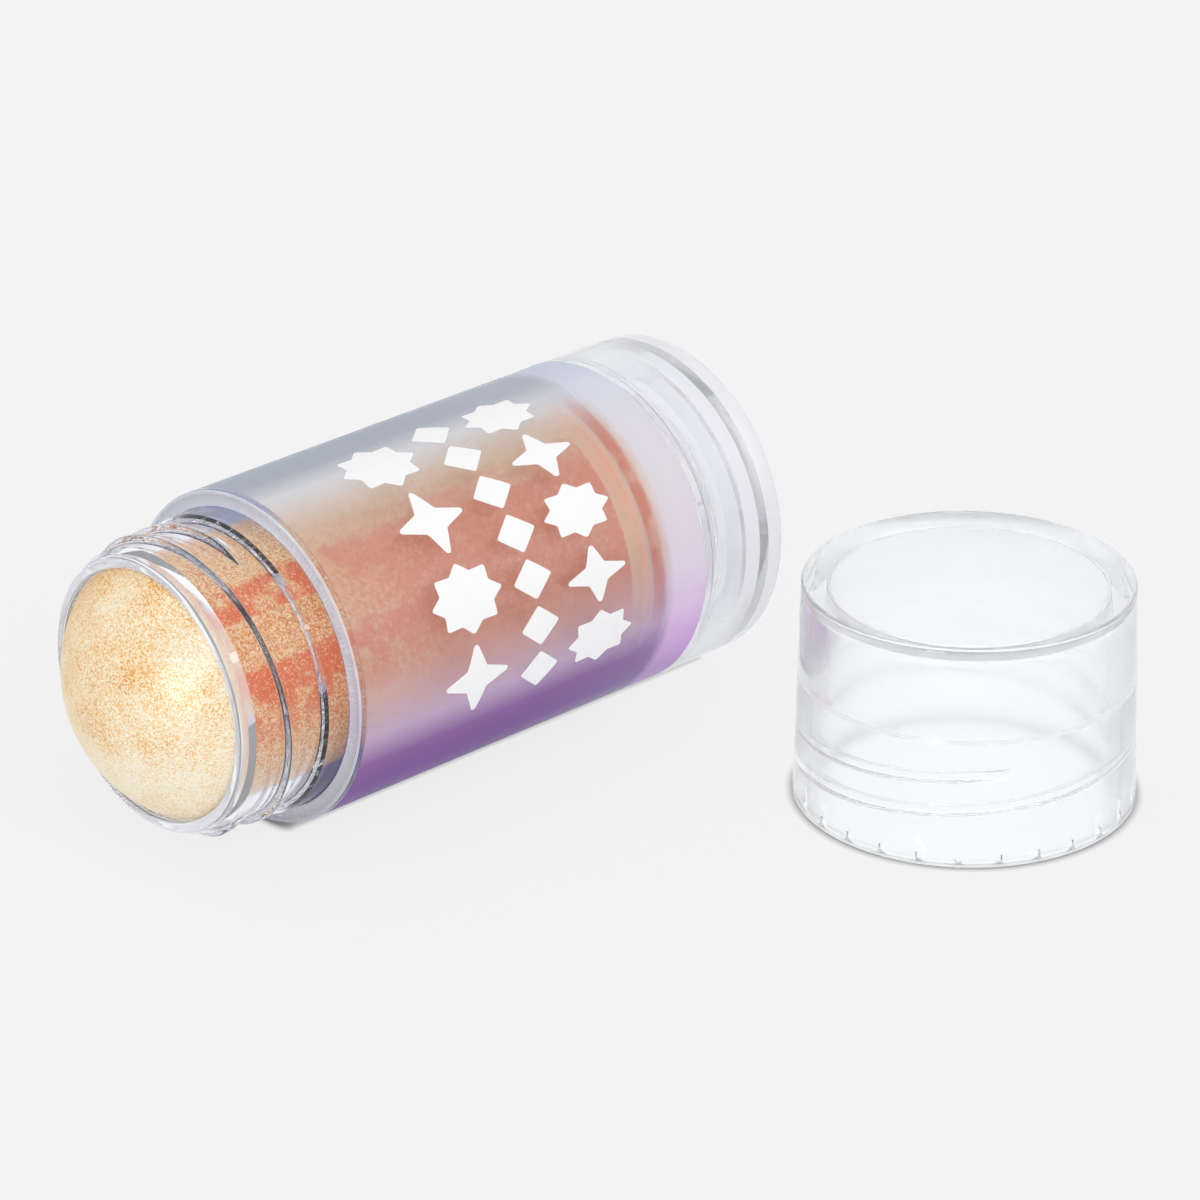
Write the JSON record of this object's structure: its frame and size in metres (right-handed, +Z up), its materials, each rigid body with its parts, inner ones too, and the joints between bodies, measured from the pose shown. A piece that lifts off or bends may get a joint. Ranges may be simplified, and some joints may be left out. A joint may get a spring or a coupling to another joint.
{
  "type": "shimmer stick",
  "caption": "Twist-up stick of shimmer product in a clear thick-walled pack with a frosted label, screw neck, turning base, lifting screw and a separate clear screw cap.",
  "frame": {"origin": "centre of the base's flat end face", "axes": "+X runs along the stick from the base to the dome, +Z is up with the stick lying on its side, and the cap stands mouth down on the same floor on the +Y side"},
  "size_m": [0.1062, 0.0928, 0.04],
  "materials": {
    "sleeve_clear": "clear, polished",
    "barrel_clear": "clear, polished",
    "label_film": "frosted film with a lilac to grey fade and white print",
    "base_clear": "clear, polished",
    "spindle_natural": "natural, satin",
    "elevator_natural": "natural, satin",
    "product": "pearly gold balm with fine glitter",
    "cap_clear": "clear, polished"
  },
  "bodies": {
    "container": {"outer_sleeve": "sleeve_clear", "inner_barrel": "barrel_clear", "label_film": "label_film", "cap": "cap_clear"},
    "base": {"twist_base": "base_clear", "spindle": "spindle_natural"},
    "lift": {"elevator": "elevator_natural", "product_stick": "product"}
  },
  "joints": [
    {"name": "base_turn", "type": "hinge", "parent": "container", "child": "base", "pos_m": [0, 0, 0], "axis": [1, 0, 0], "range_deg": [0, 4680]},
    {"name": "lift_slide", "type": "slide", "parent": "container", "child": "lift", "axis": [1, 0, 0], "range_m": [0, 0.052]}
  ],
  "couplings": [
    {"joint": "lift_slide", "follows": "base_turn", "m_per_rad": 0.0006366}
  ]
}
